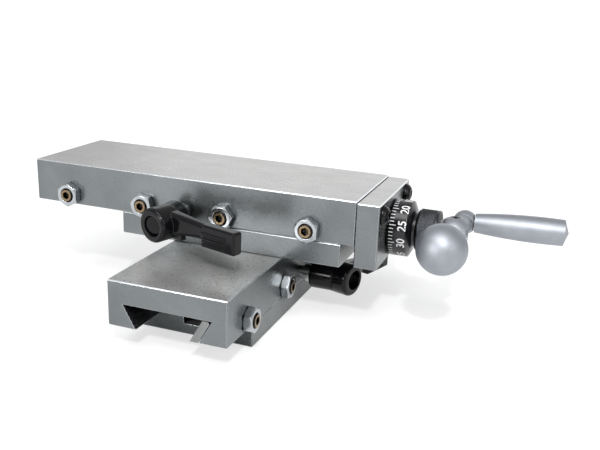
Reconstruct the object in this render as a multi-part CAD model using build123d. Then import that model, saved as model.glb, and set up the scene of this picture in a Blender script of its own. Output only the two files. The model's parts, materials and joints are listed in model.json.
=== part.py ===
from build123d import *
import os
from math import radians, sin, tan

os.makedirs("parts", exist_ok=True)

# A compound table: two equal dovetail slides, the upper one bolted crosswise on the lower one.
# Each slide is modelled once, along X with its crank at +X, its gib at -Y and its base on z = 0.
# All sizes are in millimetres.

# Saddle, base and end plate
saddle_length = 203.2
saddle_width = 67.5
saddle_height = 25.0
base_length = 135.7
base_width = 67.1
base_plate = 13.05
end_plate_thickness = 12.7
end_plate_height = 35.75
end_plate_drop = 0.85
edge_break = 0.5
overcut = 1.0

# Gap at rest between each base's end and the end plate that moves towards it
upper_end_gap = 7.6
lower_end_gap = 36.45

# Dovetail: the cavity in the saddle, the male in the base, and the gib between them
flank_angle = 60.0
cavity_depth = 12.9
fixed_lip = 16.1
gib_lip = 15.5
slide_gap = 0.05
dovetail_top_gap = 0.6
gib_thickness = 4.0
gib_back_gap = 0.5
gib_top_gap = 0.6
gib_corner = 1.2
gib_end_gap = 0.3

# Gaps shared by the fits
thread_gap = 0.05
press_gap = 0.02
running_gap = 0.04
bolt_gap = 0.2

# Gib screws with their jam nuts, in a row with equal pitch
gib_screw_count = 4
gib_screw_pitch = 50.8
gib_screw_row_shift = -1.0
gib_screw_drop = 18.8
gib_screw_radius = 3.97
gib_screw_proud = 5.5
gib_screw_point = 2.6
gib_screw_bite = 1.4
gib_screw_hex = 3.97
gib_screw_socket = 3.6
jam_nut_flats = 12.7
jam_nut_height = 4.76
jam_nut_turn = 19.0
jam_nut_bevel_angle = 30.0

# Lead screw, its bushing, thrust collar and feed nut
screw_height = 17.2
screw_radius = 4.76
screw_reach = 110.0
screw_tip_chamfer = 1.0
journal_radius = 3.97
bushing_radius = 7.0
bushing_flange_radius = 8.6
bushing_flange = 2.0
collar_radius = 6.5
collar_length = 7.0
collar_gap = 0.1
collar_screw_radius = 1.5
collar_screw_inset = 0.3
channel_width = 14.0
channel_floor = 6.0
feed_nut_length = 24.0
feed_nut_inset = 14.0
feed_nut_top_gap = 1.2
feed_screw_radius = 2.0
feed_screw_head_radius = 3.9
feed_screw_head_height = 2.2
feed_screw_rim = 0.2
feed_screw_socket_radius = 1.2
feed_screw_socket = 1.2
feed_screw_length = 11.2
feed_screw_spacing = 14.0

# Bolts through the base plate, in counterbores beside the male dovetail
bolt_radius = 3.175
bolt_head_radius = 4.76
bolt_head_height = 6.35
bolt_head_gap = 0.4
bolt_head_recess = 0.5
bolt_hex = 4.76
bolt_socket = 3.2
bolt_length = 15.5
bolt_spacing_along = 44.0
bolt_spacing_across = 49.0
bolt_bottom_gap = 0.5

# Button-head screws of the end plate
plate_screw_radius = 3.175
plate_screw_length = 25.0
plate_screw_head_radius = 5.55
plate_screw_head_height = 3.35
plate_screw_rim = 0.5
plate_screw_flat_radius = 2.9
plate_screw_hex = 3.97
plate_screw_socket = 2.2
plate_screw_inset = 7.8
plate_screw_drop = 6.9

# Dial, its hub on the shaft and its knurled lock nut, measured out from the end plate
hub_radius = 7.0
hub_length = 27.7
hub_flange_radius = 10.5
hub_flange = 2.0
hub_face_gap = 0.3
dial_radius = 15.9
dial_face_gap = 0.6
dial_width = 9.7
dial_cone_length = 1.9
dial_cone_radius = 12.0
dial_neck_radius = 9.5
dial_neck_length = 1.9
dial_seat_gap = 0.05
lock_nut_gap = 0.2
lock_nut_radius = 12.25
lock_nut_length = 11.65
lock_nut_round = 2.8
lock_nut_chamfer = 0.9

# Ball crank and its revolving handle
crank_throw = 28.0
crank_lean = 3.2
crank_middle = 34.3
crank_hub_radius = 10.4
crank_hub_length = 13.5
big_ball_radius = 13.65
small_ball_radius = 6.95
crank_root_radius = 6.8
crank_neck_radius = 6.3
crank_tip_radius = 5.2
crank_nut_gap = 1.0
shaft_end_inset = 0.6
crank_screw_radius = 2.5
crank_screw_inset = 0.5
crank_screw_hex = 2.5
crank_screw_socket = 2.0
handle_flare = 5.0
handle_seat = 5.3
handle_gap = 0.3
handle_length = 49.5
handle_root_radius = 5.5
handle_middle_radius = 7.25
handle_end_radius = 7.5
handle_middle_share = 0.42
handle_end_cone = 2.6
handle_pin_radius = 3.0
handle_pin_reach = 38.0
handle_pin_depth = 4.5

# Clamping lever: its stud, measured out from the side of the saddle
stud_radius = 3.97
stud_reach = 5.0
stud_neck = 3.5
stud_head_radius = 5.4
stud_head_length = 11.0
stud_screw_radius = 2.5
stud_screw_depth = 7.0
plug_gap = 0.05

# The lever's stem over the stud, and the screw and spring that hold it there
lever_lift = 3.0
lever_foot = 7.8
lever_body_radius = 8.2
lever_body_chamfer = 1.2
lever_floor = 2.0
lever_socket_gap = 0.3
button_radius = 5.6
button_gap = 0.25
button_height = 3.0
button_top = 31.6
button_dome = 0.5
spring_wire_radius = 0.5
spring_radius = 4.9
spring_turns = 3.5

# The lever's eye and arm, tilted on the stem; heights are counted from the arm's middle plane
lever_tilt = 17.5
arm_plane = 22.0
eye_offset = 2.7
eye_radius = 9.6
eye_back = -2.0
eye_front = 11.5
eye_front_round = 1.9
eye_back_round = 1.0
arm_corner = 2.4
pad_start = 31.5
pad_end = 55.0
pad_height = 12.3
pad_depth = 6.4
pad_drop = 0.65
pad_round = 1.2
pad_rib_count = 3
pad_rib_width = 1.5
pad_rib_pitch = 2.9
pad_rib_length = 16.0
pad_rib_inset = 1.3
pad_rib_drop = 2.1
pad_rib_rise = 0.7
pad_rib_sink = 1.5
lug_start = 9.0
lug_length = 6.5
lug_width = 3.2
lug_foot = 7.8
lug_height = 4.0

# Stations of the lever's arm along the tilt: reach, height, depth, rise above the stud, and step outwards
arm_stations = [(0.0, 15.5, 9.0, 0.3, 1.0), (10.0, 12.8, 8.0, 0.9, 0.6), (21.0, 10.2, 6.6, 1.0, 0.0),
                (36.0, 8.2, 5.4, 0.8, 0.0)]

# Places worked out from the sizes above; each saddle's shift is counted from the middle of its base
upper_saddle_shift = base_length / 2 + upper_end_gap - saddle_length / 2
lower_saddle_shift = base_length / 2 + lower_end_gap - saddle_length / 2
lip_height = base_plate + slide_gap
slide_height = lip_height + saddle_height
ceiling_height = lip_height + cavity_depth
male_top = ceiling_height - dovetail_top_gap
side_face = -saddle_width / 2
gib_screw_height = slide_height - gib_screw_drop
end_plate_bottom = slide_height - end_plate_drop - end_plate_height


def across(thickness):
    """Width along Y of a layer of this thickness that lies on a dovetail flank."""
    return thickness / sin(radians(flank_angle))


def lean(height):
    """How far a flank runs outwards along Y from the lip's edge up to this height."""
    return (height - lip_height) / tan(radians(flank_angle))


fixed_edge = saddle_width / 2 - fixed_lip
gib_edge = gib_lip - saddle_width / 2
gib_back_edge = gib_edge + across(gib_back_gap)
gib_front_edge = gib_back_edge + across(gib_thickness)
male_fixed_edge = fixed_edge - across(slide_gap)
male_gib_edge = gib_front_edge + across(slide_gap)


def prism(points, start, end):
    """Outline in Y and Z, drawn out along X."""
    outline = make_face(Plane.YZ * Polyline(*points, close=True))
    return Pos(start, 0, 0) * extrude(outline, amount=end - start, dir=(1, 0, 0))


def turned(points):
    """Outline of radius and height, turned about Z."""
    outline = make_face(Plane.XZ * Polyline(*points, close=True))
    return revolve(outline, Axis.Z)


def along_x(x, y, z):
    """Frame whose Z runs along the slide's +X, at this point."""
    return Plane(origin=(x, y, z), x_dir=(0, 1, 0), z_dir=(1, 0, 0))


def out_of_side(x, z):
    """Frame on the gib side of the saddle, with Z pointing out of the face and Y up."""
    return Plane(origin=(x, side_face, z), x_dir=(1, 0, 0), z_dir=(0, -1, 0))


def rod(radius, start, end):
    """Cylinder on Z between two heights."""
    return Pos(0, 0, start) * Cylinder(radius, end - start, align=(Align.CENTER, Align.CENTER, Align.MIN))


def hex_socket(flats, depth, top):
    """Hexagonal key socket, sunk below a height on Z."""
    outline = RegularPolygon(flats / 2, 6, major_radius=False)
    return Pos(0, 0, top - depth) * extrude(outline, amount=depth + overcut)


def saddle_end(shift):
    return shift + saddle_length / 2


def plate_face(shift):
    return saddle_end(shift) + end_plate_thickness


def lock_place(shift):
    """Middle of the row of gib screws, where the clamping lever is."""
    return shift + gib_screw_row_shift


def gib_screw_places(shift):
    first = lock_place(shift) - (gib_screw_count - 1) / 2 * gib_screw_pitch
    return [first + i * gib_screw_pitch for i in range(gib_screw_count)]


def plate_screw_places(shift):
    side = saddle_width / 2 - plate_screw_inset
    height = slide_height - end_plate_drop - plate_screw_drop
    return [(saddle_end(shift), y, height) for y in (-side, side)]


def base_bolt_places(along, across_it):
    return [(x, y) for x in (-along / 2, along / 2) for y in (-across_it / 2, across_it / 2)]


def feed_nut_places():
    middle = base_length / 2 - feed_nut_inset - feed_nut_length / 2
    return [middle - feed_screw_spacing / 2, middle + feed_screw_spacing / 2]


def base():
    """Base plate with the male dovetail, the screw channel and the counterbored bolt holes."""
    body = Pos(0, 0, base_plate / 2) * Box(base_length, base_width, base_plate)
    body = chamfer(body.edges(), edge_break)
    foot_lean = lean(base_plate)
    top_lean = lean(male_top)
    body += prism(
        [
            (male_gib_edge - foot_lean, base_plate),
            (male_fixed_edge + foot_lean, base_plate),
            (male_fixed_edge + top_lean, male_top),
            (male_gib_edge - top_lean, male_top),
        ],
        -base_length / 2,
        base_length / 2,
    )
    channel_height = male_top - channel_floor + overcut
    channel = Box(base_length + 2 * overcut, channel_width, channel_height)
    body -= Pos(0, 0, channel_floor + channel_height / 2) * channel
    bolt_seat = base_plate - bolt_head_height - bolt_head_recess
    for x, y in base_bolt_places(bolt_spacing_along, bolt_spacing_across):
        body -= Pos(x, y, 0) * rod(bolt_radius + bolt_gap, -overcut, base_plate + overcut)
        body -= Pos(x, y, 0) * rod(bolt_head_radius + bolt_head_gap, bolt_seat, base_plate + overcut)
    for x in feed_nut_places():
        body -= Pos(x, 0, 0) * feed_nut_screw(bolt_gap)
    return body


def feed_nut_screw(gap):
    """Countersunk screw up through the base into the feed nut, or its hole when a gap is given."""
    return turned(
        [
            (0, -gap),
            (feed_screw_head_radius + gap, -gap),
            (feed_screw_head_radius + gap, feed_screw_rim),
            (feed_screw_radius + gap, feed_screw_head_height),
            (feed_screw_radius + gap, feed_screw_length),
            (0, feed_screw_length),
        ]
    )


def feed_nut():
    """Bronze nut block in the base's channel."""
    top = male_top - feed_nut_top_gap
    middle = base_length / 2 - feed_nut_inset - feed_nut_length / 2
    height = top - channel_floor
    body = Box(feed_nut_length, channel_width - 2 * press_gap, height)
    body = Pos(middle, 0, channel_floor + height / 2) * chamfer(body.edges().filter_by(Axis.X), edge_break)
    thread = rod(screw_radius + thread_gap, -feed_nut_length, feed_nut_length)
    body -= along_x(middle, 0, screw_height) * thread
    for x in feed_nut_places():
        body -= Pos(x, 0, 0) * rod(feed_screw_radius + thread_gap, 0, feed_screw_length + thread_gap)
    return body


def feed_nut_screws():
    screw = feed_nut_screw(0)
    screw -= rod(feed_screw_socket_radius, -overcut, feed_screw_socket)
    return Compound([Pos(x, 0, 0) * screw for x in feed_nut_places()])


def saddle(shift, top_bolts):
    """Saddle block with the dovetail cavity, and the tapped holes for what is fastened to it."""
    body = Pos(shift, 0, lip_height + saddle_height / 2) * Box(saddle_length, saddle_width, saddle_height)
    body = chamfer(body.edges(), edge_break)
    top_lean = lean(ceiling_height)
    foot = lip_height - overcut
    body -= prism(
        [
            (gib_edge - lean(foot), foot),
            (fixed_edge + lean(foot), foot),
            (fixed_edge + top_lean, ceiling_height),
            (gib_edge - top_lean, ceiling_height),
        ],
        shift - saddle_length,
        shift + saddle_length,
    )
    depth = saddle_width / 2 + gib_front_edge
    for x in gib_screw_places(shift):
        body -= out_of_side(x, gib_screw_height) * rod(gib_screw_radius + thread_gap, -depth, overcut)
    body -= out_of_side(lock_place(shift), gib_screw_height) * rod(stud_radius + thread_gap, -depth, overcut)
    reach = plate_screw_length - end_plate_thickness
    for x, y, z in plate_screw_places(shift):
        hole = rod(plate_screw_radius + thread_gap, -reach - thread_gap, overcut)
        body -= along_x(x, y, z) * hole
    if top_bolts:
        hole_depth = bolt_length - (base_plate - bolt_head_height - bolt_head_recess) + bolt_bottom_gap
        for x, y in base_bolt_places(bolt_spacing_across, bolt_spacing_along):
            body -= Pos(shift + x, y, slide_height) * rod(bolt_radius + thread_gap, -hole_depth, overcut)
    return body


def gib(shift):
    """Parallel strip on the gib-side flank, dimpled for the points of its screws."""
    top = ceiling_height - gib_top_gap
    half = saddle_length / 2 - gib_end_gap
    body = prism(
        [
            (gib_back_edge, lip_height),
            (gib_front_edge, lip_height),
            (gib_front_edge - lean(top), top),
            (gib_back_edge - lean(top), top),
        ],
        shift - half,
        shift + half,
    )
    top_edges = body.edges().filter_by(Axis.X).group_by(Axis.Z)[-1].sort_by(Axis.Y)
    body = fillet(top_edges[0], gib_corner)
    for place in gib_screw_places(shift):
        body -= gib_screw(place)
    return body


def gib_screw(place):
    """Set screw whose cone point sits in the gib."""
    gib_back = gib_back_edge - lean(gib_screw_height) - side_face
    tip = -(gib_back + gib_screw_bite)
    cone = tip + gib_screw_point
    body = turned(
        [
            (0, tip),
            (gib_screw_radius - gib_screw_point, tip),
            (gib_screw_radius, cone),
            (gib_screw_radius, gib_screw_proud - edge_break),
            (gib_screw_radius - edge_break, gib_screw_proud),
            (0, gib_screw_proud),
        ]
    )
    body -= hex_socket(gib_screw_hex, gib_screw_socket, gib_screw_proud)
    return out_of_side(place, gib_screw_height) * body


def gib_screws(shift):
    return Compound([gib_screw(x) for x in gib_screw_places(shift)])


def jam_nut():
    """Hexagon nut with chamfered corners, on the saddle's side."""
    corner = jam_nut_flats / 2 / sin(radians(60))
    outline = RegularPolygon(jam_nut_flats / 2, 6, major_radius=False)
    body = extrude(outline, amount=jam_nut_height)
    bevel = corner - jam_nut_flats / 2
    rise = bevel * tan(radians(jam_nut_bevel_angle))
    body &= turned(
        [
            (0, 0),
            (corner - bevel, 0),
            (corner, rise),
            (corner, jam_nut_height - rise),
            (corner - bevel, jam_nut_height),
            (0, jam_nut_height),
        ]
    )
    return body - rod(gib_screw_radius + thread_gap, -overcut, jam_nut_height + overcut)


def jam_nuts(shift):
    nuts = []
    for i, x in enumerate(gib_screw_places(shift)):
        nuts.append(out_of_side(x, gib_screw_height) * Rot(0, 0, i * jam_nut_turn) * jam_nut())
    return Compound(nuts)


def end_plate(shift):
    """Plate on the saddle's end that carries the lead screw."""
    middle = saddle_end(shift) + end_plate_thickness / 2
    body = Box(end_plate_thickness, saddle_width, end_plate_height)
    body = Pos(middle, 0, end_plate_bottom + end_plate_height / 2) * chamfer(body.edges(), edge_break)
    bore = along_x(saddle_end(shift), 0, screw_height)
    body -= bore * rod(bushing_radius, -overcut, end_plate_thickness + overcut)
    body -= bore * rod(bushing_flange_radius + press_gap, -overcut, bushing_flange)
    for x, y, z in plate_screw_places(shift):
        hole = rod(plate_screw_radius + bolt_gap, -overcut, end_plate_thickness + overcut)
        body -= along_x(x, y, z) * hole
    return body


def end_plate_screws(shift):
    """Button-head screws, domed and with a key socket."""
    under = end_plate_thickness
    top = under + plate_screw_head_height
    screws = []
    for x, y, z in plate_screw_places(shift):
        head = Line((0, under), (plate_screw_head_radius, under))
        rim = (plate_screw_head_radius, under + plate_screw_rim)
        side = Line((plate_screw_head_radius, under), rim)
        crown_point = (plate_screw_flat_radius, top)
        crown = TangentArc(rim, crown_point, tangent=(0, 1))
        cap = Polyline(crown_point, (0, top), (0, under))
        body = revolve(make_face(Plane.XZ * (head + side + crown + cap)), Axis.Z)
        body += rod(plate_screw_radius, under - plate_screw_length, under)
        body -= hex_socket(plate_screw_hex, plate_screw_socket, top)
        screws.append(along_x(x, y, z) * body)
    return Compound(screws)


def bushing(shift):
    """Flanged bronze bushing in the end plate."""
    body = rod(bushing_radius - press_gap, 0, end_plate_thickness)
    body += rod(bushing_flange_radius, 0, bushing_flange)
    body -= rod(journal_radius + running_gap, -overcut, end_plate_thickness + overcut)
    return along_x(saddle_end(shift), 0, screw_height) * body


def lead_screw(shift):
    """Screw, with a journal that runs out through the plate to the crank."""
    shoulder = -collar_gap - collar_length
    shaft_end = end_plate_thickness + crank_middle + crank_hub_length / 2 - shaft_end_inset
    body = turned(
        [
            (0, -screw_reach),
            (screw_radius - screw_tip_chamfer, -screw_reach),
            (screw_radius, screw_tip_chamfer - screw_reach),
            (screw_radius, shoulder),
            (journal_radius, shoulder),
            (journal_radius, shaft_end - edge_break),
            (journal_radius - edge_break, shaft_end),
            (0, shaft_end),
        ]
    )
    return along_x(saddle_end(shift), 0, screw_height) * body


def thrust_collar(shift):
    """Collar that takes the screw's thrust on the bushing."""
    body = rod(collar_radius, -collar_gap - collar_length, -collar_gap)
    body -= rod(journal_radius + press_gap, -collar_length - overcut, overcut)
    middle = -collar_gap - collar_length / 2
    hole = rod(collar_screw_radius + thread_gap, 0, collar_radius + overcut)
    body -= Pos(0, 0, middle) * Rot(0, 90, 0) * hole
    return along_x(saddle_end(shift), 0, screw_height) * body


def thrust_collar_screw(shift):
    middle = -collar_gap - collar_length / 2
    start = journal_radius + press_gap
    body = rod(collar_screw_radius, start, collar_radius - collar_screw_inset)
    return along_x(saddle_end(shift), 0, screw_height) * Pos(0, 0, middle) * Rot(0, 90, 0) * body


def dial_hub(shift):
    """Sleeve fixed on the shaft; the dial turns on it and the lock nut screws onto it."""
    end = hub_face_gap + hub_length
    body = rod(hub_radius, hub_face_gap, end)
    body += rod(hub_flange_radius, hub_face_gap, hub_face_gap + hub_flange)
    body -= rod(journal_radius + press_gap, -overcut, end + overcut)
    return along_x(plate_face(shift), 0, screw_height) * body


def dial(shift):
    """Graduated dial with its bevel and neck."""
    seat = hub_face_gap + hub_flange + dial_seat_gap
    rim = dial_face_gap + dial_width
    neck = rim + dial_cone_length
    body = turned(
        [
            (0, dial_face_gap),
            (dial_radius - edge_break, dial_face_gap),
            (dial_radius, dial_face_gap + edge_break),
            (dial_radius, rim),
            (dial_cone_radius, neck),
            (dial_neck_radius, neck),
            (dial_neck_radius, neck + dial_neck_length),
            (0, neck + dial_neck_length),
        ]
    )
    body -= rod(hub_radius + running_gap, -overcut, neck + dial_neck_length + overcut)
    body -= rod(hub_flange_radius + running_gap, -overcut, seat)
    return along_x(plate_face(shift), 0, screw_height) * body


def dial_lock_nut(shift):
    """Round nut that clamps the dial; its knurl is left plain here."""
    start = dial_face_gap + dial_width + dial_cone_length + dial_neck_length + lock_nut_gap
    body = rod(lock_nut_radius, start, start + lock_nut_length)
    rims = body.edges().filter_by(GeomType.CIRCLE).sort_by(Axis.Z)
    body = fillet(rims[-1], lock_nut_round)
    rims = body.edges().filter_by(GeomType.CIRCLE).sort_by(Axis.Z)
    body = chamfer(rims[0], lock_nut_chamfer)
    body -= rod(hub_radius + running_gap, -overcut, start + lock_nut_length + overcut)
    return along_x(plate_face(shift), 0, screw_height) * body


def crank_frame(shift):
    """Frame on the screw's axis at the middle of the crank, with Z along the shaft and X across."""
    return along_x(plate_face(shift) + crank_middle, 0, screw_height)


def small_ball_frame():
    """Place of the small ball in the crank's frame, with Z along the handle."""
    rise = crank_throw * tan(radians(crank_lean))
    return Pos(crank_throw, 0, rise) * Rot(0, handle_flare, 0)


def handle_frame(shift):
    return crank_frame(shift) * small_ball_frame()


def arm_rod(start_radius, end_radius, start, end):
    """Tapered arm between two points of the crank's frame."""
    run = Vector(*end) - Vector(*start)
    body = Cone(start_radius, end_radius, run.length, align=(Align.CENTER, Align.CENTER, Align.MIN))
    return Plane(origin=start, z_dir=run.normalized()) * body


def crank(shift):
    """Ball crank: the big ball, the hub and the small ball that carries the handle."""
    rise = crank_throw * tan(radians(crank_lean))
    half = crank_hub_length / 2
    hub = Sphere(crank_hub_radius)
    hub &= rod(crank_hub_radius, -half, half)
    body = hub + Pos(-crank_throw, 0, -rise) * Sphere(big_ball_radius)
    body += arm_rod(crank_root_radius, crank_neck_radius, (-crank_throw, 0, -rise), (0, 0, 0))
    body += arm_rod(crank_neck_radius, crank_tip_radius, (0, 0, 0), (crank_throw, 0, rise))
    body += Pos(crank_throw, 0, rise) * Sphere(small_ball_radius)
    seat = rod(small_ball_radius, handle_seat, small_ball_radius + overcut)
    body -= small_ball_frame() * seat
    hub_face = hub_face_gap + hub_length - crank_middle
    body -= rod(lock_nut_radius + crank_nut_gap, hub_face - lock_nut_length, hub_face)
    body -= rod(journal_radius + press_gap, -half - overcut, half + overcut)
    body -= Rot(-90, 0, 0) * rod(crank_screw_radius + thread_gap, 0, crank_hub_radius + overcut)
    pin_hole = rod(handle_pin_radius + press_gap, handle_seat - handle_pin_depth, handle_seat + overcut)
    body -= small_ball_frame() * pin_hole
    return crank_frame(shift) * body


def crank_set_screw(shift):
    start = journal_radius + press_gap
    end = crank_hub_radius - crank_screw_inset
    body = rod(crank_screw_radius, start, end) - hex_socket(crank_screw_hex, crank_screw_socket, end)
    return crank_frame(shift) * Rot(-90, 0, 0) * body


def handle(shift):
    """Tapered handle with a shallow cone at its free end, bored for its pin."""
    start = handle_seat + handle_gap
    end = start + handle_length
    middle = start + handle_middle_share * handle_length
    side = Spline(
        (handle_root_radius, start), (handle_middle_radius, middle), (handle_end_radius, end),
    )
    outline = side + Polyline(
        (handle_end_radius, end), (0, end + handle_end_cone), (0, start), (handle_root_radius, start),
    )
    body = revolve(make_face(Plane.XZ * outline), Axis.Z)
    body -= rod(handle_pin_radius + running_gap, start - overcut, handle_seat + handle_pin_reach + handle_gap)
    return handle_frame(shift) * body


def handle_pin(shift):
    body = rod(handle_pin_radius, handle_seat - handle_pin_depth, handle_seat + handle_pin_reach)
    return handle_frame(shift) * body


def lock_stud(shift):
    """Threaded stud of the clamping lever, with the toothed head that the lever fits over."""
    head_end = stud_neck + stud_head_length
    body = rod(stud_radius, -stud_reach, stud_neck) + rod(stud_head_radius, stud_neck, head_end)
    body -= rod(stud_screw_radius + thread_gap, head_end - stud_screw_depth, head_end + overcut)
    return out_of_side(lock_place(shift), gib_screw_height) * body


def lock_plug(shift):
    """Brass plug between the stud and the gib, cut to the slope of the gib's back."""
    start = side_face + stud_reach
    foot = gib_screw_height - stud_radius - overcut
    top = gib_screw_height + stud_radius + overcut
    wedge = prism(
        [
            (start, foot),
            (gib_back_edge - lean(foot), foot),
            (gib_back_edge - lean(top), top),
            (start, top),
        ],
        shift - saddle_width,
        shift + saddle_width,
    )
    hole = out_of_side(lock_place(shift), gib_screw_height)
    return wedge & hole * rod(stud_radius - plug_gap, -saddle_width, 0)


def lock_screw(shift):
    """Screw with the round button head that holds the lever on its stud."""
    head_foot = button_top - button_height
    head_end = stud_neck + stud_head_length
    body = rod(stud_screw_radius, head_end - stud_screw_depth + thread_gap, head_foot)
    head = rod(button_radius, head_foot, button_top)
    body += chamfer(head.edges().filter_by(GeomType.CIRCLE).sort_by(Axis.Z)[-1], button_dome)
    return out_of_side(lock_place(shift), gib_screw_height) * body


def lever_floor_height():
    return stud_neck + stud_head_length + lever_lift


def lock_spring(shift):
    """Coil spring under the button, which draws the lever back onto the stud's teeth."""
    start = lever_floor_height() + lever_floor + spring_wire_radius
    end = button_top - button_height - spring_wire_radius
    path = Pos(0, 0, start) * Helix((end - start) / spring_turns, end - start, spring_radius)
    wire = Plane(origin=path @ 0, z_dir=path % 0) * Circle(spring_wire_radius)
    return out_of_side(lock_place(shift), gib_screw_height) * sweep(wire, path)


def lever_eye():
    """Rounded barrel at the head of the lever's arm."""
    body = Pos(eye_offset, 0, 0) * rod(eye_radius, eye_back, eye_front)
    rims = body.edges().filter_by(GeomType.CIRCLE).sort_by(Axis.Z)
    body = fillet(rims[-1], eye_front_round)
    rims = body.edges().filter_by(GeomType.CIRCLE).sort_by(Axis.Z)
    return fillet(rims[0], eye_back_round)


def finger_pad():
    """Rounded block at the arm's end, with raised ribs on its outer face."""
    length = pad_end - pad_start
    pad = Box(length, pad_height, pad_depth)
    body = Pos(pad_start + length / 2, -pad_drop, 0) * fillet(pad.edges(), pad_round)
    rib = Box(pad_rib_length, pad_rib_width, pad_rib_rise + pad_rib_sink)
    middle = pad_start + pad_rib_inset + pad_rib_length / 2
    height = pad_depth / 2 + (pad_rib_rise - pad_rib_sink) / 2
    first = -pad_rib_drop - (pad_rib_count - 1) / 2 * pad_rib_pitch
    for i in range(pad_rib_count):
        body += Pos(middle, first + i * pad_rib_pitch, height) * rib
    return body


def lever_arm():
    """Arm lofted through its stations, with the finger pad and the small lug under it."""
    faces = []
    for reach, tall, deep, rise, step in arm_stations:
        frame = Plane(origin=(reach, rise, step), x_dir=(0, 1, 0), z_dir=(1, 0, 0))
        faces.append(frame * RectangleRounded(tall, deep, arm_corner))
    lug = Box(lug_length, lug_height, lug_width, align=(Align.MIN, Align.MIN, Align.CENTER))
    return loft(faces) + finger_pad() + Pos(lug_start, -lug_foot, 0) * lug


def lock_lever(shift):
    """Lever with its tilted eye and arm, which lifts off the stud's teeth against the spring."""
    body = rod(lever_body_radius, lever_foot, arm_plane)
    rims = body.edges().filter_by(GeomType.CIRCLE).sort_by(Axis.Z)
    body = chamfer(rims[0], lever_body_chamfer)
    body += Pos(0, 0, arm_plane) * Rot(0, -lever_tilt, 0) * (lever_eye() + lever_arm())
    clear = arm_plane + eye_front + eye_radius
    body -= rod(stud_head_radius + lever_socket_gap, lever_foot - overcut, lever_floor_height())
    body -= rod(stud_screw_radius + running_gap, lever_foot, clear)
    body -= rod(button_radius + button_gap, lever_floor_height() + lever_floor, clear)
    return out_of_side(lock_place(shift), gib_screw_height) * body


def base_bolt():
    """Socket-head bolt from the base into the saddle below it."""
    seat = base_plate - bolt_head_height - bolt_head_recess
    body = rod(bolt_radius, seat - bolt_length, seat)
    body += rod(bolt_head_radius, seat, seat + bolt_head_height)
    return body - hex_socket(bolt_hex, bolt_socket, seat + bolt_head_height)


def base_bolts():
    places = base_bolt_places(bolt_spacing_along, bolt_spacing_across)
    return Compound([Pos(x, y, 0) * base_bolt() for x, y in places])


def slide(shift, top_bolts):
    """All pieces of one slide, by name."""
    return {
        "base": base(),
        "feed_nut": feed_nut(),
        "feed_nut_screws": feed_nut_screws(),
        "saddle": saddle(shift, top_bolts),
        "gib": gib(shift),
        "gib_screws": gib_screws(shift),
        "jam_nuts": jam_nuts(shift),
        "end_plate": end_plate(shift),
        "end_plate_screws": end_plate_screws(shift),
        "bushing": bushing(shift),
        "lead_screw": lead_screw(shift),
        "thrust_collar": thrust_collar(shift),
        "thrust_collar_screw": thrust_collar_screw(shift),
        "dial_hub": dial_hub(shift),
        "dial": dial(shift),
        "dial_lock_nut": dial_lock_nut(shift),
        "crank": crank(shift),
        "crank_set_screw": crank_set_screw(shift),
        "handle_pin": handle_pin(shift),
        "handle": handle(shift),
        "lock_plug": lock_plug(shift),
        "lock_stud": lock_stud(shift),
        "lock_screw": lock_screw(shift),
        "lock_spring": lock_spring(shift),
        "lock_lever": lock_lever(shift),
    }


# The lower slide runs along +Y; the upper one sits on the middle of the lower saddle.
upper_offset = Pos(0, lower_saddle_shift, slide_height)
for name, piece in slide(lower_saddle_shift, True).items():
    export_step(Rot(0, 0, 90) * piece, f"parts/lower_{name}.step")
for name, piece in slide(upper_saddle_shift, False).items():
    export_step(upper_offset * piece, f"parts/upper_{name}.step")
export_step(upper_offset * base_bolts(), "parts/upper_base_bolts.step")
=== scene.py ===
import json
from math import cos, pi, radians, sin, tan

import bmesh
import bpy
from mathutils import Matrix, Vector


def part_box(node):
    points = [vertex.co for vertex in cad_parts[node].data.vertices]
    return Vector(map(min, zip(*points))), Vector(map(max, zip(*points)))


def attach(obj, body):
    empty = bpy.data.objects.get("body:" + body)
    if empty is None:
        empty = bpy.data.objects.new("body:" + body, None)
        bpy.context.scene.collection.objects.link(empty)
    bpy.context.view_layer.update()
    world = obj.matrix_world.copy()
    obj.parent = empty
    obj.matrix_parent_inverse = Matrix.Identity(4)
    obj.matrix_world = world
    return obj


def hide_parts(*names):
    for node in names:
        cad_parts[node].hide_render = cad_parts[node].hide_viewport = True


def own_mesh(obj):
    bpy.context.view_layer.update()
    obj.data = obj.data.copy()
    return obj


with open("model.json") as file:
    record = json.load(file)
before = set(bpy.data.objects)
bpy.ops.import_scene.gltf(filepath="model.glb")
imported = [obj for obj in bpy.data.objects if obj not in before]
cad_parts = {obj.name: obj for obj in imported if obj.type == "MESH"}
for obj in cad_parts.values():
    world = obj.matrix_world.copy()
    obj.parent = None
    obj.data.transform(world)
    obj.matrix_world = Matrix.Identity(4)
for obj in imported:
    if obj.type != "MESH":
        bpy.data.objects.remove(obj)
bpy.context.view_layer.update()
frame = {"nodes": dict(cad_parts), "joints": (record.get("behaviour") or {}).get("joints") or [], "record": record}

# Crossed dovetail slides. Pieces are made in millimetres in a local frame and placed in the part's frame in metres
MM = 0.001
STAGES = ("lower", "upper")
UP = Vector((0, 0, 1))

# Corners of a full turn, for each kind of round piece
SCREW_SEGMENTS = 48
HEAD_SEGMENTS = 72
DIAL_SEGMENTS = 144

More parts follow.
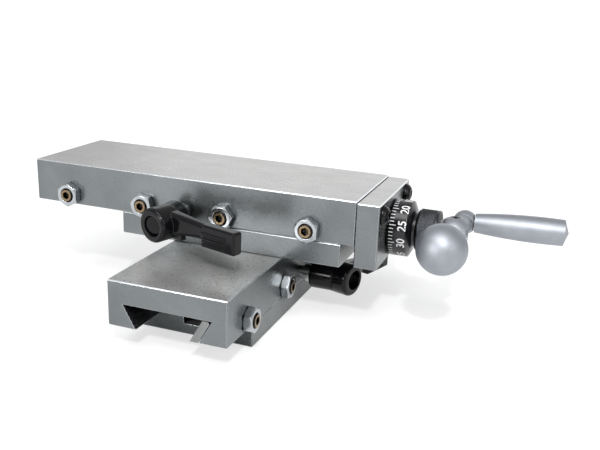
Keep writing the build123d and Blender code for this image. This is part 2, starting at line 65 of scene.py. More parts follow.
# Standard hardware
SET_SCREW_RADIUS = 3.97
SET_SCREW_PITCH = 1.06
SET_SCREW_HEX = 3.97
SET_SCREW_SOCKET = 3.4
SET_SCREW_CHAMFER = 0.6
SET_SCREW_POINT = 2.6
SET_SCREW_THREAD_DEPTH = 0.55
SET_SCREWS = 4
JAM_NUT_FLATS = 12.7
JAM_NUT_HEIGHT = 4.76
JAM_NUT_TURN = 19.0
JAM_NUT_BEVEL = 30.0
JAM_NUT_CLEARANCE = 0.04
JAM_NUT_RIM = 0.25
LEAD_PITCH = 1.27
LEAD_DEPTH = 0.72
LEAD_JOURNAL_RADIUS = 3.97
LEAD_PLAIN_LENGTH = 6.0
PLATE_SCREW_HEX = 3.97
PLATE_SCREW_SOCKET = 2.2
PLATE_SCREW_PITCH = 1.27
PLATE_SCREW_RADIUS = 3.175
PLATE_SCREW_THREAD_DEPTH = 0.6
PLATE_SCREW_THREAD_END = -11.0
SOCKET_RIM = 0.12
SOCKET_FOOT_RATIO = 0.46
SOCKET_CONE_RATIO = 0.28
SPRING_WIRE_RADIUS = 0.5
SPRING_TURNS = 3.5

# Dial and its lock nut
DIAL_BORE = 7.04
DIAL_DIVISIONS = 50
DIAL_NUMBER_STEP = 5
DIAL_ZERO_ANGLE = 340.0
TICK_WIDTH = 0.42
TICK_SHORT = 2.3
TICK_LONG = 3.4
TICK_START = 0.5
MARK_RISE, MARK_ROOT = 0.03, -0.05
NUMBER_SIZE = 6.3
NUMBER_BOLD = 0.09
NUMBER_NARROW = 0.94
NUMBER_FOOT = 9.5
KNURL_TEETH = 52
KNURL_DEPTH = 0.42
KNURL_SAMPLES = 6
KNURL_FADE = 0.5
KNURL_LIP_LOW, KNURL_LIP_HIGH = 1.2, 1.3


def joint(name):
    return next(j for j in frame["joints"] if j["name"] == name)


def placed(origin, axis):
    """Matrix from local millimetres to the part's frame, with local Z along the axis and local Y up."""
    z = Vector(axis).normalized()
    x = UP.cross(z).normalized()
    turn = Matrix((x, z.cross(x), z)).transposed().to_4x4()
    return Matrix.Translation(origin) @ turn @ Matrix.Scale(MM, 4)


def joint_place(name):
    found = joint(name)
    return placed(found["pos_m"], found["axis"])


def span(place, node):
    """Lowest and highest corner of a node's box in a local frame, in millimetres."""
    low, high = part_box(node)
    back = place.inverted()
    corners = [back @ Vector((x, y, z))
               for x in (low.x, high.x) for y in (low.y, high.y) for z in (low.z, high.z)]
    return Vector(map(min, *corners)), Vector(map(max, *corners))


# Mesh helpers


def hexagon(flats):
    """Distance from the middle to the side of a hexagon, for an angle."""
    def radius(angle):
        from_flat = (angle + pi / 6) % (pi / 3) - pi / 6
        return flats / 2 / cos(from_flat)
    return radius


def rings(stations, segments, closed=False):
    """Mesh through rings about Z. A station is (radius, height), and either may be a function of the angle."""
    points, faces = [], []
    for radius, height in stations:
        for k in range(segments):
            angle = 2 * pi * k / segments
            r = radius(angle) if callable(radius) else radius
            z = height(angle) if callable(height) else height
            points.append((r * cos(angle), r * sin(angle), z))
    count = len(stations)
    for i in range(count if closed else count - 1):
        a, b = i * segments, (i + 1) % count * segments
        for k in range(segments):
            n = (k + 1) % segments
            faces.append((a + k, a + n, b + n, b + k))
    if not closed:
        faces.append(tuple(reversed(range(segments))))
        faces.append(tuple(range((count - 1) * segments, count * segments)))
    return points, faces


def rounded(corners, steps=4):
    """Outline of (radius, height, fillet) corners, with each fillet as a short arc."""
    outline = []
    for i, (r, z, fillet) in enumerate(corners):
        here = Vector((r, z))
        if fillet <= 0 or i in (0, len(corners) - 1):
            outline.append((r, z))
            continue
        before = Vector(corners[i - 1][:2]) - here
        after = Vector(corners[i + 1][:2]) - here
        reach = min(fillet, before.length * 0.49, after.length * 0.49)
        start = here + before.normalized() * reach
        end = here + after.normalized() * reach
        for k in range(steps + 1):
            t = k / steps
            point = start * (1 - t) ** 2 + here * 2 * t * (1 - t) + end * t * t
            outline.append((point.x, point.y))
    return outline


def piece(name, shape, place, material, body, replaces=(), sharp=35, bevel=0.0):
    """Adds a mesh in its local frame, rides it on its body and hides the CAD nodes that it stands for."""
    points, faces = shape
    mesh = bpy.data.meshes.new(name)
    mesh.from_pydata([Vector(p) * MM for p in points], [], faces)
    tidy_mesh(mesh)
    mesh.shade_smooth()
    mesh.set_sharp_from_angle(angle=radians(sharp))
    mesh.materials.append(material)
    made = bpy.data.objects.new(name, mesh)
    bpy.context.scene.collection.objects.link(made)
    made.matrix_world = place @ Matrix.Scale(1 / MM, 4)
    if bevel:
        soften = made.modifiers.new("soft_edges", "BEVEL")
        soften.width = bevel * MM
        soften.segments = 3
        soften.limit_method = "ANGLE"
        soften.angle_limit = radians(sharp)
    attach(made, body)
    if replaces:
        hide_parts(*replaces)
    return made


def tidy_mesh(mesh):
    work = bmesh.new()
    work.from_mesh(mesh)
    bmesh.ops.remove_doubles(work, verts=work.verts, dist=1e-7)
    bmesh.ops.recalc_face_normals(work, faces=work.faces)
    work.to_mesh(mesh)
    work.free()


def merged(*shapes):
    """One shape out of several, each moved by its own matrix."""
    points, faces = [], []
    for matrix, (some_points, some_faces) in shapes:
        offset = len(points)
        points += [tuple(matrix @ Vector(p)) for p in some_points]
        faces += [tuple(offset + i for i in face) for face in some_faces]
    return points, faces


def wave(phase):
    """Triangle wave from 0 to 1 and back over one turn of the phase."""
    return 1 - abs(2 * (phase % 1) - 1)


def threaded(radius, pitch, depth, start, end, rows_per_turn=8):
    """Stations of a screw thread between two heights, faded out at both ends."""
    count = max(2, int((end - start) / pitch * rows_per_turn))
    stations = []
    for i in range(count + 1):
        z = start + (end - start) * i / count
        fade = min(1, (z - start) / pitch, (end - z) / pitch)

        def r(angle, z=z, fade=fade):
            return radius - depth * max(0, fade) * wave(z / pitch - angle / (2 * pi))
        stations.append((r, z))
    return stations


def socket(flats, top, depth):
    """Stations of a hexagon key socket, from its rim down to its drilled foot."""
    side = hexagon(flats)
    foot = top - depth - 0.1
    return [(lambda angle: side(angle) + SOCKET_RIM, top), (side, top - SOCKET_RIM), (side, top - depth),
            (flats * SOCKET_FOOT_RATIO, foot), (0.05, foot - flats * SOCKET_CONE_RATIO)]


def coil(radius, wire, start, end, turns, steps=36, sides=10):
    """Round wire wound about Z, closed at both ends."""
    points, faces = [], []
    count = int(turns * steps)
    for i in range(count + 1):
        angle = 2 * pi * turns * i / count
        for k in range(sides):
            around = 2 * pi * k / sides
            r = radius + wire * cos(around)
            z = start + (end - start) * i / count + wire * sin(around)
            points.append((r * cos(angle), r * sin(angle), z))
    for i in range(count):
        a, b = i * sides, (i + 1) * sides
        for k in range(sides):
            n = (k + 1) % sides
            faces.append((a + k, a + n, b + n, b + k))
    faces += [tuple(range(sides)), tuple(range(count * sides, (count + 1) * sides))]
    return points, faces


# Materials


def new_material(name):
    made = bpy.data.materials.new(name)
    made.use_nodes = True
    tree = made.node_tree
    tree.nodes.clear()
    out = tree.nodes.new("ShaderNodeOutputMaterial")
    shader = tree.nodes.new("ShaderNodeBsdfPrincipled")
    tree.links.new(shader.outputs["BSDF"], out.inputs["Surface"])
    return made, tree, shader


def noise(tree, scale, stretch=(1, 1, 1), detail=3.0, roughness=0.55):
    """Noise in the object's own coordinates; scale is in features per metre."""
    coords = tree.nodes.new("ShaderNodeTexCoord")
    mapping = tree.nodes.new("ShaderNodeMapping")
    mapping.inputs["Scale"].default_value = stretch
    texture = tree.nodes.new("ShaderNodeTexNoise")
    texture.inputs["Scale"].default_value = scale
    texture.inputs["Detail"].default_value = detail
    texture.inputs["Roughness"].default_value = roughness
    tree.links.new(coords.outputs["Object"], mapping.inputs["Vector"])
    tree.links.new(mapping.outputs["Vector"], texture.inputs["Vector"])
    return texture.outputs["Fac"]


def ranged(tree, value, low, high, start=0.3, end=0.7):
    node = tree.nodes.new("ShaderNodeMapRange")
    node.inputs["From Min"].default_value = start
    node.inputs["From Max"].default_value = end
    node.inputs["To Min"].default_value = low
    node.inputs["To Max"].default_value = high
    tree.links.new(value, node.inputs["Value"])
    return node.outputs["Result"]


def tinted(tree, value, dark, light):
    ramp = tree.nodes.new("ShaderNodeValToRGB")
    ramp.color_ramp.elements[0].position = 0.3
    ramp.color_ramp.elements[1].position = 0.7
    ramp.color_ramp.elements[0].color = (*dark, 1)
    ramp.color_ramp.elements[1].color = (*light, 1)
    tree.links.new(value, ramp.inputs["Fac"])
    return ramp.outputs["Color"]


def bumped(tree, shader, value, depth_mm):
    bump = tree.nodes.new("ShaderNodeBump")
    bump.inputs["Distance"].default_value = depth_mm * MM
    bump.inputs["Strength"].default_value = BUMP_STRENGTH
    tree.links.new(value, bump.inputs["Height"])
    tree.links.new(bump.outputs["Normal"], shader.inputs["Normal"])
    return bump


def facing(tree, low, high):
    """1 where a surface faces up by more than high, 0 below low, from the object's own normal."""
    coords = tree.nodes.new("ShaderNodeTexCoord")
    parts = tree.nodes.new("ShaderNodeSeparateXYZ")
    tree.links.new(coords.outputs["Normal"], parts.inputs["Vector"])
    return ranged(tree, parts.outputs["Z"], 0.0, 1.0, low, high)


def blended(tree, factor, first, second, blend_type="MIX"):
    mix = tree.nodes.new("ShaderNodeMix")
    mix.data_type = "RGBA"
    mix.blend_type = blend_type
    for socket_index, value in ((0, factor), (6, first), (7, second)):
        if isinstance(value, (int, float)):
            mix.inputs[socket_index].default_value = value
        elif isinstance(value, tuple):
            mix.inputs[socket_index].default_value = (*value, 1)
        else:
            tree.links.new(value, mix.inputs[socket_index])
    return mix.outputs[2]


def rounded_normal(tree, radius_mm, samples):
    """The surface's normal, rounded over sharp edges."""
    edge = tree.nodes.new("ShaderNodeBevel")
    edge.samples = samples
    edge.inputs["Radius"].default_value = radius_mm * MM
    return edge.outputs["Normal"]


def edge_wear(tree, normal):
    """Painted highlight on edges: 0 on flat faces, rising to its set strength at a sharp edge, where the rounded
    normal leaves the true one.
    """
    surface = tree.nodes.new("ShaderNodeNewGeometry")
    match = tree.nodes.new("ShaderNodeVectorMath")
    match.operation = "DOT_PRODUCT"
    tree.links.new(normal, match.inputs[0])
    tree.links.new(surface.outputs["Normal"], match.inputs[1])
    return ranged(tree, match.outputs["Value"], EDGE_HIGHLIGHT_MIX, 0.0, 0.86, 0.98)


def hollow_shade(tree):
    """Painted shade: 1 on open faces, falling to SHADE_DARK deep in a hollow, from ambient occlusion."""
    around = tree.nodes.new("ShaderNodeAmbientOcclusion")
    around.samples = SHADE_SAMPLES
    around.inputs["Distance"].default_value = SHADE_REACH_MM * MM
    return ranged(tree, around.outputs["AO"], SHADE_DARK, 1.0, 0.30, 0.60)


def metal(name, dark, light, rough, blotch=45, grain=900, stretch=(1, 1, 1), depth_mm=0.012, spread=0.06):
    """Bare metal with cloudy colour and polish, and a fine grain along one direction."""
    made, tree, shader = new_material(name)
    shader.inputs["Metallic"].default_value = 1.0
    tree.links.new(tinted(tree, noise(tree, blotch, detail=5), dark, light), shader.inputs["Base Color"])
    fine = noise(tree, grain, stretch, detail=2)
    tree.links.new(ranged(tree, fine, rough - spread, rough + spread), shader.inputs["Roughness"])
    bumped(tree, shader, fine, depth_mm)
    return made


def machined_block(name):
    """Aluminium with a fine grain, painted lighter on the top and darker on the sides by the way they face, with a
    painted highlight on chamfers and sharp edges.

    The top is cloudy and has scuffs in patches. The sides carry painted shade in hollows.
    """
    made, tree, shader = new_material(name)
    upward = facing(tree, 0.85, 0.97)
    tree.links.new(ranged(tree, upward, 1.0, TOP_METALLIC, 0.0, 1.0), shader.inputs["Metallic"])
    # Painted light: the sides take a darker tone and the top a lighter one, by the way they face
    side = tinted(tree, noise(tree, SIDE_CLOUDS, detail=5), SHADED_SIDE_DARK, SHADED_SIDE_PALE)
    top = tinted(tree, noise(tree, TOP_CLOUDS, (1, 1.6, 1), detail=6), LIT_TOP_DARK, LIT_TOP_PALE)
    scuffs = noise(tree, SCUFF_GRAIN, (1, 2.4, 1), detail=4, roughness=0.7)
    scuffs = ranged(tree, scuffs, 0.0, SCUFF_STRENGTH, 0.55, 0.70)
    patch = ranged(tree, noise(tree, SCUFF_PATCHES, detail=1), 0.0, 1.0, 0.48, 0.62)
    both = tree.nodes.new("ShaderNodeMath")
    both.operation = "MULTIPLY"
    tree.links.new(scuffs, both.inputs[0])
    tree.links.new(patch, both.inputs[1])
    scuffed = blended(tree, both.outputs[0], top, SCUFF)
    # Painted highlight: faces that slope between side and top, the chamfers, take the pale edge colour
    side_with_painted_light = blended(tree, facing(tree, 0.3, 0.5), side, EDGE_HIGHLIGHT)
    # Painted shade: the sides' colour darkens in hollows, by ambient occlusion
    side_with_painted_light = blended(tree, 1.0, side_with_painted_light, hollow_shade(tree), "MULTIPLY")
    # Painted light: upward faces take the lighter painted tone, the others the darker one
    faces_with_painted_light = blended(tree, upward, side_with_painted_light, scuffed)
    edge = rounded_normal(tree, EDGE_MM, EDGE_SAMPLES)
    # Painted highlight: sharp edges are lightened towards the pale edge colour
    faces_with_painted_light = blended(tree, edge_wear(tree, edge), faces_with_painted_light, EDGE_HIGHLIGHT)
    speck = ranged(tree, noise(tree, SPECKS, detail=2), 1 - SPECK_STRENGTH, 1 + SPECK_STRENGTH, 0.2, 0.8)
    tree.links.new(blended(tree, 1.0, faces_with_painted_light, speck, "MULTIPLY"), shader.inputs["Base Color"])
    fine = noise(tree, GRAIN, (1, 1, 5), detail=2)
    rough = ranged(tree, fine, SIDE_ROUGH - SIDE_ROUGH_SPREAD, SIDE_ROUGH + SIDE_ROUGH_SPREAD)
    tree.links.new(rough, shader.inputs["Roughness"])
    shader.inputs["Anisotropic"].default_value = 0.6
    along = tree.nodes.new("ShaderNodeCombineXYZ")
    for axis, value in zip("XYZ", GRAIN_DIRECTION):
        along.inputs[axis].default_value = value
    tree.links.new(along.outputs["Vector"], shader.inputs["Tangent"])
    bump = bumped(tree, shader, fine, GRAIN_DEPTH_MM)
    tree.links.new(edge, bump.inputs["Normal"])
    return made


def rubbed_oxide(name, black, brass):
    """Black oxide that is rubbed to a brassy brown on the faces across the piece's own Z axis."""
    made, tree, shader = new_material(name)
    shader.inputs["Metallic"].default_value = 1.0
    tree.links.new(blended(tree, facing(tree, 0.93, 0.98), black, brass), shader.inputs["Base Color"])
    fine = noise(tree, 900, detail=2)
    tree.links.new(ranged(tree, fine, 0.22, 0.36), shader.inputs["Roughness"])
    bumped(tree, shader, fine, 0.004)
    return made


def paint(name, colour, rough, specular=0.5, grain=600, depth_mm=0.01, spread=0.05, edge_mm=0.0):
    """Painted, anodised or moulded finish with a slightly uneven gloss and softened edges."""
    made, tree, shader = new_material(name)
    shader.inputs["Specular IOR Level"].default_value = specular
    dark = [c * 0.8 for c in colour]
    light = [min(1, c * 1.25) for c in colour]
    tree.links.new(tinted(tree, noise(tree, 120, detail=4), dark, light), shader.inputs["Base Color"])
    fine = noise(tree, grain, detail=3)
    tree.links.new(ranged(tree, fine, rough - spread, rough + spread), shader.inputs["Roughness"])
    bump = bumped(tree, shader, fine, depth_mm)
    if edge_mm:
        tree.links.new(rounded_normal(tree, edge_mm, PAINT_EDGE_SAMPLES), bump.inputs["Normal"])
    return made


BUMP_STRENGTH = 0.5
PAINT_EDGE_SAMPLES = 8

# Machined aluminium. Grain and clouds are in features per metre
# Painted light: the sides' tone is darker and the top's lighter, standing for how light falls on them
SHADED_SIDE_DARK, SHADED_SIDE_PALE = (0.150, 0.162, 0.166), (0.190, 0.204, 0.209)
LIT_TOP_DARK, LIT_TOP_PALE = (0.35, 0.35, 0.346), (0.42, 0.42, 0.416)
SIDE_CLOUDS, TOP_CLOUDS = 38, 60
SCUFF, SCUFF_STRENGTH = (0.70, 0.70, 0.69), 0.65
SCUFF_GRAIN, SCUFF_PATCHES = 330, 17
# Pale colour of the painted highlight on chamfers and sharp edges
EDGE_HIGHLIGHT = (0.80, 0.83, 0.86)
EDGE_MM, EDGE_HIGHLIGHT_MIX, EDGE_SAMPLES = 0.40, 0.85, 6
SPECKS, SPECK_STRENGTH = 2200, 0.07
GRAIN, GRAIN_DEPTH_MM = 700, 0.0004
SIDE_ROUGH, SIDE_ROUGH_SPREAD = 0.30, 0.04
TOP_METALLIC = 0.55
GRAIN_DIRECTION = (0.10, 0.0, 1.0)
# Painted shade in hollows: reach, darkest factor and samples
SHADE_REACH_MM, SHADE_DARK, SHADE_SAMPLES = 30, 0.08, 8

MATERIALS = {
    "machined": machined_block("machined_aluminium"),
    "gib": metal("ground_steel", (0.20, 0.205, 0.205), (0.27, 0.275, 0.275), 0.28, blotch=90, depth_mm=0.003),
    "zinc": metal("bright_zinc", (0.36, 0.38, 0.40), (0.44, 0.46, 0.48), 0.24, blotch=60, depth_mm=0.0001,
                  spread=0.03),
    "black_screw": metal("black_oxide", (0.020, 0.020, 0.021), (0.034, 0.034, 0.036), 0.26, blotch=500,
                         depth_mm=0.004),
    "steel": metal("turned_steel", (0.38, 0.38, 0.38), (0.50, 0.50, 0.50), 0.25, stretch=(1, 1, 8)),
    "bronze": metal("bearing_bronze", (0.42, 0.27, 0.11), (0.56, 0.38, 0.18), 0.30, stretch=(1, 1, 8)),
    "dial_black": paint("black_anodised", (0.004, 0.004, 0.006), 0.22, specular=0.46, depth_mm=0.002),
    "crank": metal("satin_crank", (0.29, 0.31, 0.34), (0.34, 0.36, 0.39), 0.50, blotch=120, grain=1800,
                   depth_mm=0.003, spread=0.03),
    "lever_black": paint("gloss_black", (0.003, 0.003, 0.004), 0.12, specular=0.22, grain=350, depth_mm=0.002,
                         spread=0.02, edge_mm=0.9),
    "spring": metal("spring_wire", (0.40, 0.40, 0.40), (0.50, 0.50, 0.50), 0.25),
}
KNURL_BLACK = metal("worn_black_knurl", (0.050, 0.053, 0.058), (0.060, 0.063, 0.068), 0.30, depth_mm=0.001)
GIB_SCREW_OXIDE = rubbed_oxide("rubbed_oxide", (0.020, 0.018, 0.016), (0.24, 0.175, 0.105))
WHITE_INK = paint("white_ink", (0.82, 0.83, 0.84), 0.45)


# Carried-over solids take their finish from the record's slots
slot_of = {row["node"]: row["material_slot"] for row in frame["record"]["subparts"]}
for node_name, node in frame["nodes"].items():
    node.data.materials.clear()
    node.data.materials.append(MATERIALS[slot_of[node_name]])


# Pieces of one slide


def gib_screws_and_nuts(stage):
    """Threaded set screws with their sockets, and hexagon jam nuts, along the saddle's gib side."""
    place = joint_place(stage + "_lock_turn")
    low, high = span(place, stage + "_gib_screws")
    half = (high.x - low.x) / 2 - SET_SCREW_RADIUS
    spacing = 2 * half / (SET_SCREWS - 1)
    screws, nuts = [], []
    for i in range(SET_SCREWS):
        at = Matrix.Translation((-half + i * spacing, 0, 0))
        screws.append((at, set_screw(low.z, high.z)))
        nuts.append((at @ Matrix.Rotation(radians(i * JAM_NUT_TURN), 4, "Z"), jam_nut()))
    body = stage + "_saddle"
    piece(stage + "_gib_screws_cut", merged(*screws), place, GIB_SCREW_OXIDE, body,
          [stage + "_gib_screws"])
    piece(stage + "_jam_nuts_cut", merged(*nuts), place, MATERIALS["zinc"], body,
          [stage + "_jam_nuts"], sharp=25, bevel=0.22)


def set_screw(low, high):
    """Set screw with a cone point and a hexagon socket, from its point up."""
    point = SET_SCREW_POINT
    stations = [(SET_SCREW_RADIUS - point, low), (SET_SCREW_RADIUS - 0.3, low + point - 0.3)]
    stations += threaded(SET_SCREW_RADIUS, SET_SCREW_PITCH, SET_SCREW_THREAD_DEPTH, low + point,
                         high - SET_SCREW_CHAMFER)
    stations += [(SET_SCREW_RADIUS - SET_SCREW_CHAMFER, high)]
    stations += socket(SET_SCREW_HEX, high, SET_SCREW_SOCKET)
    return rings(stations, SCREW_SEGMENTS)


def jam_nut():
    """Hexagon nut with both ends turned to a bevel and a countersunk hole."""
    side = hexagon(JAM_NUT_FLATS)
    slope = tan(radians(JAM_NUT_BEVEL))
    flat = JAM_NUT_FLATS / 2

    def rise(angle):
        return (side(angle) - flat + JAM_NUT_RIM) * slope
    hole = SET_SCREW_RADIUS + JAM_NUT_CLEARANCE
    sink = 0.4
    stations = [
        (hole, sink), (hole + sink, 0), (flat - JAM_NUT_RIM, 0), (side, rise),
        (side, lambda angle: JAM_NUT_HEIGHT - rise(angle)), (flat - JAM_NUT_RIM, JAM_NUT_HEIGHT),
        (hole + sink, JAM_NUT_HEIGHT), (hole, JAM_NUT_HEIGHT - sink),
    ]
    return rings(stations, HEAD_SEGMENTS, closed=True)


def end_plate_screws(stage):
    """Button-head screws with their key sockets."""
    place = joint_place(stage + "_crank_turn")
    low, high = span(place, stage + "_end_plate_screws")
    head = (high.y - low.y) / 2
    side = (high.x - low.x) / 2 - head
    height = (high.y + low.y) / 2
    shank = PLATE_SCREW_RADIUS
    button = rounded([(shank, low.z, 0), (shank, -0.01, 0), (head - 0.1, 0, 0), (head, 0.15, 0),
                      (head, 0.7, 0.3), (head - 0.7, 2.1, 1.2), (head - 2.3, high.z, 0.8),
                      (PLATE_SCREW_HEX * 0.62, high.z, 0)])
    stations = [(shank - 0.4, low.z)]
    stations += threaded(shank, PLATE_SCREW_PITCH, PLATE_SCREW_THREAD_DEPTH, low.z + 0.4, PLATE_SCREW_THREAD_END)
    stations += button[1:] + socket(PLATE_SCREW_HEX, high.z, PLATE_SCREW_SOCKET)
    screws = [(Matrix.Translation((x, height, 0)), rings(stations, HEAD_SEGMENTS)) for x in (-side, side)]
    piece(stage + "_end_plate_screws_cut", merged(*screws), place, MATERIALS["black_screw"],
          stage + "_saddle", [stage + "_end_plate_screws"])


def lead_screw(stage):
    """Lead screw with its thread cut up to the collar, and the plain journal."""
    place = joint_place(stage + "_crank_turn")
    low, high = span(place, stage + "_lead_screw")
    radius = high.x
    journal = LEAD_JOURNAL_RADIUS
    collar_low = span(place, stage + "_thrust_collar")[0].z
    stations = [(radius - 1, low.z)]
    stations += threaded(radius, LEAD_PITCH, LEAD_DEPTH, low.z + 0.6, collar_low - LEAD_PLAIN_LENGTH)
    stations += [(radius, collar_low), (journal, collar_low), (journal, high.z - 0.5), (journal - 0.5, high.z)]
    piece(stage + "_lead_screw_cut", rings(stations, SCREW_SEGMENTS), place, MATERIALS["steel"],
          stage + "_screw", [stage + "_lead_screw"])


def dial(stage):
    """Black dial with engraved lines and numbers filled with white."""
    place = joint_place(stage + "_dial_set")
    low, high = span(place, stage + "_dial")
    foot, top, radius = low.z, high.z, high.x
    outline = rounded([
        (DIAL_BORE, foot + 1.75, 0), (10.6, foot + 1.75, 0), (10.6, foot, 0), (radius - 0.4, foot, 0.3),
        (radius, foot + 0.4, 0.3), (radius, foot + 9.7, 0.5), (12.0, foot + 11.6, 0.3),
        (9.5, foot + 11.8, 0.2), (9.5, top - 0.3, 0.2), (9.2, top, 0), (DIAL_BORE, top, 0),
    ])
    body = stage + "_dial"
    piece(body + "_turned", rings(outline, DIAL_SEGMENTS, closed=True), place, MATERIALS["dial_black"],
          body, [body])
    marks = []
    for i in range(DIAL_DIVISIONS):
        angle = radians(DIAL_ZERO_ANGLE + 360 / DIAL_DIVISIONS * i)
        length = TICK_LONG if i % DIAL_NUMBER_STEP == 0 else TICK_SHORT
        turn = Matrix.Rotation(angle, 4, "Z")
        marks.append((turn @ Matrix.Translation((radius, 0, foot + TICK_START)), tick(length)))
    piece(body + "_lines", merged(*marks), place, WHITE_INK, body)
    for i in range(0, DIAL_DIVISIONS, DIAL_NUMBER_STEP):
        angle = radians(DIAL_ZERO_ANGLE + 360 / DIAL_DIVISIONS * i)
        number(f"{body}_number_{i}", str(i), place, radius, angle, foot + NUMBER_FOOT, body)


def tick(length):
    """Thin bar along Z, sunk a little into the dial's face."""
    half = TICK_WIDTH / 2
    points = [(x, y, z) for x in (MARK_ROOT, MARK_RISE) for y in (-half, half) for z in (0, length)]
    faces = [(0, 1, 3, 2), (4, 6, 7, 5), (0, 4, 5, 1), (2, 3, 7, 6), (0, 2, 6, 4), (1, 5, 7, 3)]
    return points, faces


def number(name, text, place, radius, angle, foot, body):
    """Numeral wrapped round the dial, reading up the near side with its head towards the plate."""
    curve = bpy.data.curves.new(name, "FONT")
    curve.body = text
    curve.size = NUMBER_SIZE
    curve.align_x = "CENTER"
    curve.offset = NUMBER_BOLD
    source = bpy.data.objects.new(name + "_source", curve)
    bpy.context.scene.collection.objects.link(source)
    bpy.context.view_layer.update()
    flat = bpy.data.meshes.new_from_object(source.evaluated_get(bpy.context.evaluated_depsgraph_get()))
    bpy.data.objects.remove(source)
    work = bmesh.new()
    work.from_mesh(flat)
    bmesh.ops.triangulate(work, faces=work.faces)
    raised = bmesh.ops.extrude_face_region(work, geom=work.faces[:])
    top = {v for v in raised["geom"] if isinstance(v, bmesh.types.BMVert)}
    points = []
    work.verts.index_update()
    for v in work.verts:
        r = radius + (MARK_RISE if v in top else MARK_ROOT)
        a = angle - v.co.x * NUMBER_NARROW / radius
        points.append((r * cos(a), r * sin(a), foot - v.co.y))
    faces = [tuple(v.index for v in f.verts) for f in work.faces]
    work.free()
    piece(name, (points, faces), place, WHITE_INK, body)


def knurled_nut(stage):
    """Dial lock nut with a diamond knurl between plain lips."""
    place = joint_place(stage + "_dial_lock")
    low, high = span(place, stage + "_dial_lock_nut")
    radius, bore = high.x, DIAL_BORE
    start, end = low.z + KNURL_LIP_LOW, high.z - KNURL_LIP_HIGH
    pitch = 2 * pi * radius / KNURL_TEETH
    rows = int((end - start) / pitch * KNURL_SAMPLES)
    stations = [(bore, low.z), (radius - 0.9, low.z)]
    for i in range(rows + 1):
        z = start + (end - start) * i / rows
        fade = min(1, (z - start) / KNURL_FADE, (end - z) / KNURL_FADE)

        def r(angle, z=z, fade=fade):
            across = KNURL_TEETH * angle / (2 * pi)
            along = (z - start) / pitch
            cut = 1 - min(wave(across + along), wave(across - along))
            return radius - KNURL_DEPTH * cut * max(0, fade)
        stations.append((r, z))
    stations += rounded([(radius, end, 0), (radius, high.z, KNURL_LIP_HIGH), (bore, high.z, 0)], 8)[1:]
    piece(stage + "_dial_lock_nut_knurled", rings(stations, KNURL_TEETH * KNURL_SAMPLES, closed=True), place,
          KNURL_BLACK, stage + "_dial_lock_nut", [stage + "_dial_lock_nut"], sharp=50)


def lock_spring(stage):
    """Coil spring under the lever's button, carried by the lock stud."""
    place = joint_place(stage + "_lock_turn")
    low, high = span(place, stage + "_lock_spring")
    wire = SPRING_WIRE_RADIUS
    shape = coil(high.x - wire, wire, low.z + wire, high.z - wire, SPRING_TURNS)
    made = piece(stage + "_lock_spring_coil", shape, place, MATERIALS["spring"], stage + "_lock_stud",
                 [stage + "_lock_spring"])
    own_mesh(made)


for stage_name in STAGES:
    gib_screws_and_nuts(stage_name)
    lock_spring(stage_name)
    end_plate_screws(stage_name)
    lead_screw(stage_name)
    dial(stage_name)
    knurled_nut(stage_name)


# Studio: floor, lamps, world and camera


def seen_directly(tree):
    """1 for what the camera sees straight on, in a reflection or through glass."""
    path = tree.nodes.new("ShaderNodeLightPath")
    value = path.outputs["Is Camera Ray"]
    for other in ("Is Glossy Ray", "Is Transmission Ray"):
        most = tree.nodes.new("ShaderNodeMath")
        most.operation = "MAXIMUM"
        tree.links.new(value, most.inputs[0])
        tree.links.new(path.outputs[other], most.inputs[1])
        value = most.outputs[0]
    return value


def white_floor():
    """Large pale floor that shows white to the camera and in the metal, with the object's shadow and a painted
    pool of shade where the lift is weaker near the object.
    """
    bpy.ops.mesh.primitive_circle_add(vertices=128, radius=FLOOR_RADIUS, fill_type="NGON", location=(0, 0, 0))
    floor = bpy.context.object
    floor.name = "floor"
    made = bpy.data.materials.new("pale_floor")
    made.use_nodes = True
    tree = made.node_tree
    tree.nodes.clear()
    out = tree.nodes.new("ShaderNodeOutputMaterial")
    plain = tree.nodes.new("ShaderNodeBsdfDiffuse")
    plain.inputs["Color"].default_value = FLOOR_COLOUR
    lift = tree.nodes.new("ShaderNodeEmission")
    lift.inputs["Color"].default_value = (1, 1, 1, 1)
    strength = tree.nodes.new("ShaderNodeMath")
    strength.operation = "MULTIPLY"
    tree.links.new(seen_directly(tree), strength.inputs[0])
    coords = tree.nodes.new("ShaderNodeTexCoord")
    away = tree.nodes.new("ShaderNodeVectorMath")
    away.operation = "LENGTH"
    tree.links.new(coords.outputs["Object"], away.inputs[0])
    # Painted shade: the lift grows with distance from the object, so the floor is darker round it
    lifted = ranged(tree, away.outputs["Value"], SHADE_POOL_NEAR_LIFT, FAR_LIFT, NEAR_FLOOR, FAR_FLOOR)
    tree.links.new(lifted, strength.inputs[1])
    tree.links.new(strength.outputs[0], lift.inputs["Strength"])
    both = tree.nodes.new("ShaderNodeAddShader")
    tree.links.new(plain.outputs[0], both.inputs[0])
    tree.links.new(lift.outputs[0], both.inputs[1])
    tree.links.new(both.outputs[0], out.inputs["Surface"])
    floor.data.materials.append(made)


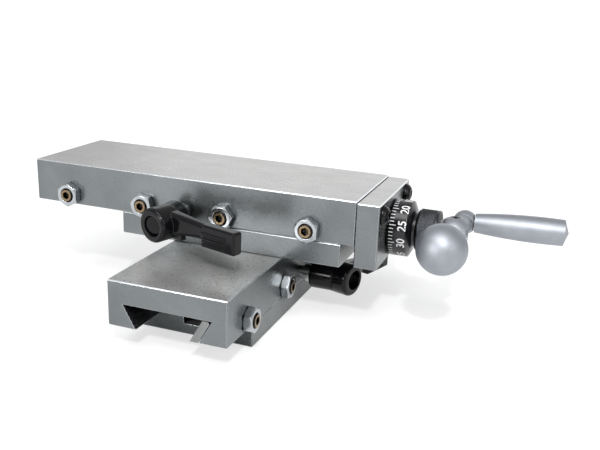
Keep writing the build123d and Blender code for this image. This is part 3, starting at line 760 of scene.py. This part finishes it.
def studio_world():
    """Plain light grey room that shows paler in the metal and white to the camera, above the floor's edge."""
    world = bpy.data.worlds.new("studio")
    bpy.context.scene.world = world
    world.use_nodes = True
    tree = world.node_tree
    tree.nodes.clear()
    out = tree.nodes.new("ShaderNodeOutputWorld")
    room = tree.nodes.new("ShaderNodeBackground")
    room.inputs["Color"].default_value = ROOM_COLOUR
    room.inputs["Strength"].default_value = ROOM_LIGHT
    backdrop = tree.nodes.new("ShaderNodeBackground")
    backdrop.inputs["Color"].default_value = (1, 1, 1, 1)
    path = tree.nodes.new("ShaderNodeLightPath")
    pale = ranged(tree, path.outputs["Is Camera Ray"], BACKDROP_IN_METAL, 1.0, 0.0, 1.0)
    tree.links.new(pale, backdrop.inputs["Strength"])
    shown = tree.nodes.new("ShaderNodeMixShader")
    tree.links.new(seen_directly(tree), shown.inputs["Fac"])
    tree.links.new(room.outputs[0], shown.inputs[1])
    tree.links.new(backdrop.outputs[0], shown.inputs[2])
    tree.links.new(shown.outputs[0], out.inputs["Surface"])


def lamp(name, location, target, size, radiance):
    """Rectangular lamp of a given radiance that isn't seen itself."""
    data = bpy.data.lights.new(name, "AREA")
    data.shape = "RECTANGLE"
    data.size, data.size_y = size
    data.energy = radiance * pi * size[0] * size[1]
    made = bpy.data.objects.new(name, data)
    bpy.context.scene.collection.objects.link(made)
    made.visible_camera = False
    made.location = location
    aim = Vector(target) - Vector(location)
    made.rotation_mode = "QUATERNION"
    made.rotation_quaternion = aim.to_track_quat("-Z", "Y")


# The floor is lifted to white, less so near the object, which paints a pool of shade round it on top of its shadow
FLOOR_RADIUS = 80
FLOOR_COLOUR = (0.5, 0.5, 0.5, 1)
NEAR_FLOOR, FAR_FLOOR = 0.15, 0.8
SHADE_POOL_NEAR_LIFT, FAR_LIFT = 0.60, 0.88
ROOM_COLOUR = (0.97, 0.98, 1.0, 1)
ROOM_LIGHT = 0.42
BACKDROP_IN_METAL = 0.65
LAMPS = (  # name, place, target, size in metres, radiance
    ("key", (-0.03, -0.48, 0.98), (0.02, 0, 0.05), (0.80, 0.42), 5.0),
    ("glint", (0.31, -0.74, 0.80), (0.05, 0, 0.05), (0.07, 0.07), 330.0),
    ("front_panel", (-0.42, -1.0, 0.36), (-0.03, -0.02, 0.04), (0.40, 0.30), 12.0),
    ("back_panel", (0.1, 1.7, 0.65), (0, 0, 0.1), (2.6, 1.2), 0.5),
    ("right_panel", (0.95, -0.45, 0.55), (0.1, 0, 0.05), (0.5, 0.7), 2.0),
)
white_floor()
studio_world()
for lamp_row in LAMPS:
    lamp(*lamp_row)

# The camera was solved from the straight edges in the photograph
FOCAL_PIXELS = 774.748
IMAGE_WIDTH = 600
SENSOR_WIDTH = 36.0
CAMERA_PLACE = Vector((180.583, -408.111, 185.336)) * MM
CAMERA_YAW = 0.346724
CAMERA_PITCH = 0.305085
CAMERA_ROLL = -0.040373

camera_data = bpy.data.cameras.new("camera")
camera_data.sensor_width = SENSOR_WIDTH
camera_data.lens = FOCAL_PIXELS * SENSOR_WIDTH / IMAGE_WIDTH
camera_data.clip_start = 0.01
camera_data.clip_end = 200
camera = bpy.data.objects.new("camera", camera_data)
bpy.context.scene.collection.objects.link(camera)
ahead = Vector((-sin(CAMERA_YAW), cos(CAMERA_YAW), 0))
forward = cos(CAMERA_PITCH) * ahead - sin(CAMERA_PITCH) * UP
level = Vector((cos(CAMERA_YAW), sin(CAMERA_YAW), 0))
down = forward.cross(level)
right = cos(CAMERA_ROLL) * level + sin(CAMERA_ROLL) * down
below = cos(CAMERA_ROLL) * down - sin(CAMERA_ROLL) * level
turned = Matrix((right, -below, -forward)).transposed().to_4x4()
camera.matrix_world = Matrix.Translation(CAMERA_PLACE) @ turned
bpy.context.scene.camera = camera
bpy.context.scene.view_settings.view_transform = "Standard"
